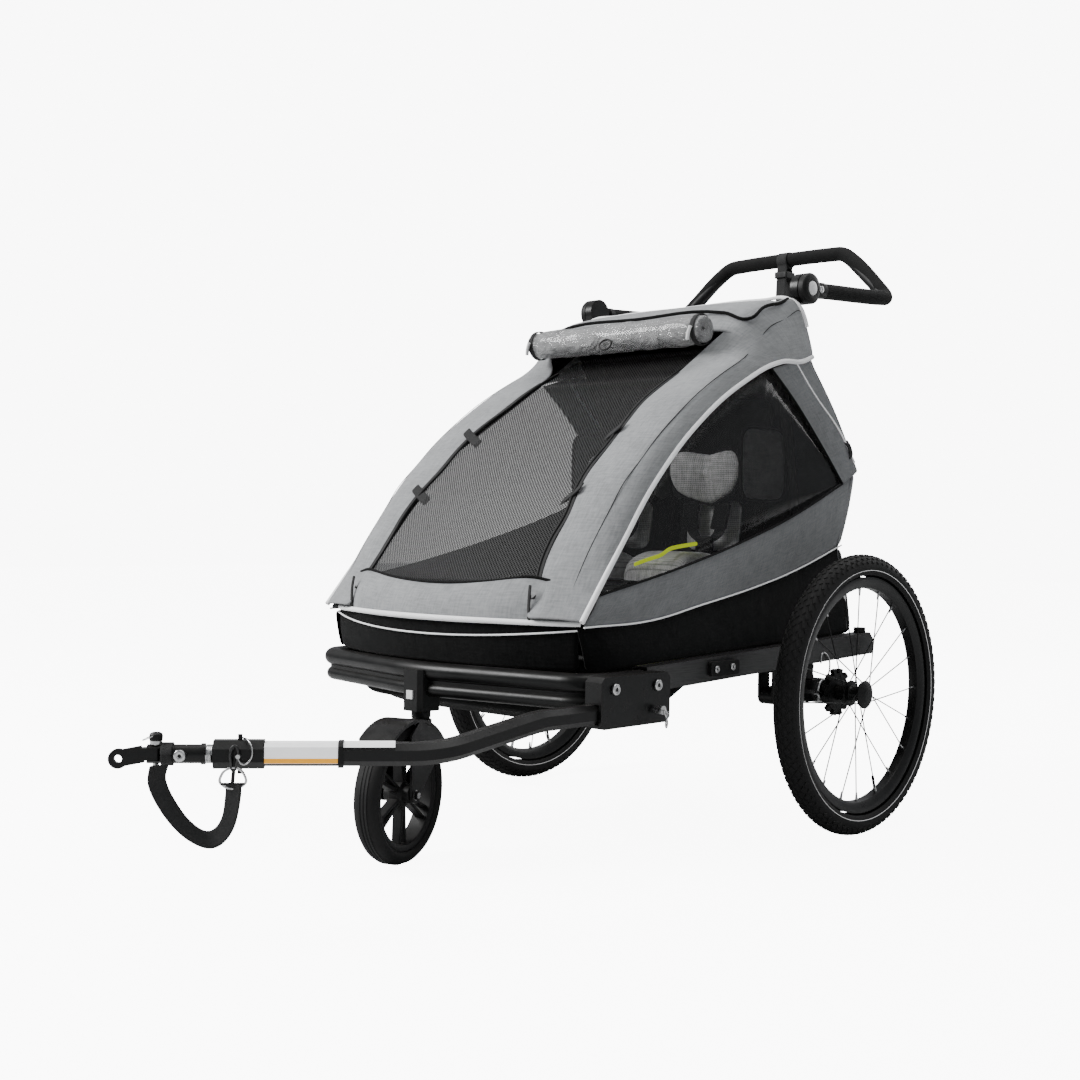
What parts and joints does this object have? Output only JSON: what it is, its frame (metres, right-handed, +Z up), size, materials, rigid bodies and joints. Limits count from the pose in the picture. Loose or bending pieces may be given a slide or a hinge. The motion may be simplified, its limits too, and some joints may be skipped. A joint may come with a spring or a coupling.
{
  "type": "child bicycle trailer",
  "caption": "Covered two-seat child trailer with folding hoop frame, spoked wheels, towing arm with hitch, swivelling front wheel and tilting push handle.",
  "frame": {"origin": "on the ground, in the middle of the overall length and width", "axes": "the trailer faces -Y, its left side is +X, +Z is up"},
  "size_m": [0.857, 1.6486, 1.1315],
  "materials": {
    "black_paint": "gloss",
    "aluminium": "satin",
    "steel": "polished",
    "black_plastic": "textured",
    "white_plastic": "smooth",
    "foam": "foam",
    "tyre": "matte",
    "elastomer": "matte",
    "grey_fabric": "woven melange",
    "black_fabric": "woven",
    "mesh": "net",
    "seat_mesh": "spacer mesh",
    "window_film": "tinted",
    "rain_film": "clear crumpled",
    "webbing": "woven webbing"
  },
  "bodies": {
    "chassis": {"side_rails": "aluminium", "front_bumper": "black_paint", "cross_tubes": "black_paint", "chassis_fittings": "black_plastic", "drawbar_bracket": "black_paint", "drawbar": "black_paint", "hitch_sleeve": "black_paint", "hitch_spring": "steel", "caster_block": "black_plastic", "frame_brackets": "black_paint", "floor_pan": "black_plastic", "footwell": "black_fabric", "skirt": "black_fabric", "front_lip": "grey_fabric", "side_panels": "grey_fabric", "side_windows": "window_film", "rear_panel": "grey_fabric", "seat_cushions": "seat_mesh", "backrests": "seat_mesh", "headrests": "seat_mesh", "harnesses": "webbing", "suspension_spring_left": "elastomer", "suspension_spring_right": "elastomer"},
    "upper_frame": {"hoops": "aluminium", "hoop_sleeves": "grey_fabric", "roof_panel": "grey_fabric", "rain_roll": "rain_film", "hinge_housings": "black_plastic"},
    "rear_frame": {"rear_frame": "aluminium"},
    "front_cover": {"front_mesh": "mesh"},
    "handle": {"hinge_arms": "black_plastic", "handle_grip": "foam", "handle_tube": "aluminium", "wrist_strap": "webbing"},
    "handle_button_left": {"handle_button_left": "white_plastic"},
    "handle_button_right": {"handle_button_right": "white_plastic"},
    "brake_pedal": {"brake_pedal": "black_plastic"},
    "caster_fork": {"caster_fork": "black_paint"},
    "caster_wheel": {"caster_rim": "black_plastic", "caster_tyre": "tyre"},
    "caster_button": {"caster_button": "white_plastic"},
    "drawbar_pin": {"drawbar_pin": "steel"},
    "coupling": {"coupling_barrel": "black_paint", "safety_strap": "webbing"},
    "hitch_eye": {"hitch_eye": "black_paint"},
    "lock_pin": {"lock_pin": "steel"},
    "suspension_left": {"suspension_arm_left": "black_paint"},
    "brake_pin_left": {"brake_pin_left": "steel"},
    "wheel_left": {"tyre_left": "tyre", "rim_left": "black_paint", "spokes_left": "black_paint", "hub_left": "black_plastic", "brake_disc_left": "black_plastic"},
    "suspension_right": {"suspension_arm_right": "black_paint"},
    "brake_pin_right": {"brake_pin_right": "steel"},
    "wheel_right": {"tyre_right": "tyre", "rim_right": "black_paint", "spokes_right": "black_paint", "hub_right": "black_plastic", "brake_disc_right": "black_plastic"}
  },
  "joints": [
    {"name": "suspension_left_travel", "type": "hinge", "parent": "chassis", "child": "suspension_left", "pos_m": [0.315, 0.3188, 0.25], "axis": [1, 0, 0], "range_deg": [0, 6], "stiffness_Nm_per_rad": 150, "springref_deg": -9.74, "deforming": ["suspension_spring_left"]},
    {"name": "wheel_left_spin", "type": "hinge", "parent": "suspension_left", "child": "wheel_left", "pos_m": [0.405, 0.4638, 0.25], "axis": [1, 0, 0], "continuous": true},
    {"name": "brake_pin_left_slide", "type": "slide", "parent": "suspension_left", "child": "brake_pin_left", "axis": [1, 0, 0], "range_m": [0, 0.014]},
    {"name": "handle_button_left_press", "type": "slide", "parent": "handle", "child": "handle_button_left", "axis": [-1, 0, 0], "range_m": [0, 0.003], "stiffness_N_per_m": 800},
    {"name": "suspension_right_travel", "type": "hinge", "parent": "chassis", "child": "suspension_right", "pos_m": [-0.315, 0.3188, 0.25], "axis": [1, 0, 0], "range_deg": [0, 6], "stiffness_Nm_per_rad": 150, "springref_deg": -9.74, "deforming": ["suspension_spring_right"]},
    {"name": "wheel_right_spin", "type": "hinge", "parent": "suspension_right", "child": "wheel_right", "pos_m": [-0.405, 0.4638, 0.25], "axis": [1, 0, 0], "continuous": true},
    {"name": "brake_pin_right_slide", "type": "slide", "parent": "suspension_right", "child": "brake_pin_right", "axis": [-1, 0, 0], "range_m": [0, 0.014]},
    {"name": "handle_button_right_press", "type": "slide", "parent": "handle", "child": "handle_button_right", "axis": [1, 0, 0], "range_m": [0, 0.003], "stiffness_N_per_m": 800},
    {"name": "brake_pedal_press", "type": "hinge", "parent": "chassis", "child": "brake_pedal", "pos_m": [0, 0.6118, 0.32232], "axis": [-1, 0, 0], "range_deg": [0, 18]},
    {"name": "caster_swivel", "type": "hinge", "parent": "chassis", "child": "caster_fork", "pos_m": [0, -0.2192, 0.23], "axis": [0, 0, 1], "continuous": true},
    {"name": "caster_spin", "type": "hinge", "parent": "caster_fork", "child": "caster_wheel", "pos_m": [0.02009, -0.28102, 0.111], "axis": [0.9511, 0.309, 0], "continuous": true},
    {"name": "caster_button_press", "type": "slide", "parent": "chassis", "child": "caster_button", "axis": [0, 1, 0], "range_m": [0, 0.002], "stiffness_N_per_m": 800},
    {"name": "frame_fold", "type": "hinge", "parent": "chassis", "child": "upper_frame", "pos_m": [0, -0.1012, 0.352], "axis": [-1, 0, 0], "range_deg": [0, 32], "deforming": ["hoop_sleeves", "roof_panel", "rain_roll", "side_panels", "side_windows", "rear_panel", "backrests", "headrests", "harnesses", "front_lip", "skirt"]},
    {"name": "rear_frame_fold", "type": "hinge", "parent": "chassis", "child": "rear_frame", "pos_m": [0, 0.5638, 0.362], "axis": [1, 0, 0], "range_deg": [0, 80.2]},
    {"name": "front_cover_lift", "type": "hinge", "parent": "upper_frame", "child": "front_cover", "pos_m": [0, 0.2078, 0.809], "axis": [-1, 0, 0], "range_deg": [0, 95], "deforming": ["front_mesh"]},
    {"name": "handle_tilt", "type": "hinge", "parent": "upper_frame", "child": "handle", "pos_m": [0, 0.4908, 0.99], "axis": [1, 0, 0], "range_deg": [-40, 120], "deforming": ["wrist_strap"]},
    {"name": "drawbar_pin_pull", "type": "slide", "parent": "chassis", "child": "drawbar_pin", "axis": [1, 0, 0], "range_m": [0, 0.05]},
    {"name": "coupling_flex", "type": "hinge", "parent": "chassis", "child": "coupling", "pos_m": [0.14637, -0.72333, 0.235], "axis": [0, 0, 1], "range_deg": [-25, 25], "stiffness_Nm_per_rad": 20, "deforming": ["hitch_spring", "safety_strap"]},
    {"name": "hitch_eye_swing", "type": "hinge", "parent": "coupling", "child": "hitch_eye", "pos_m": [0.10049, -0.77553, 0.235], "axis": [0, 0, 1], "range_deg": [-40, 40]},
    {"name": "lock_pin_pull", "type": "slide", "parent": "coupling", "child": "lock_pin", "axis": [0, 0, 1], "range_m": [0, 0.03]}
  ],
  "couplings": [
    {"joint": "rear_frame_fold", "follows": "frame_fold", "ratio": 2.5},
    {"joint": "brake_pin_left_slide", "follows": "brake_pedal_press", "m_per_rad": 0.0445},
    {"joint": "brake_pin_right_slide", "follows": "brake_pedal_press", "m_per_rad": 0.0445}
  ]
}
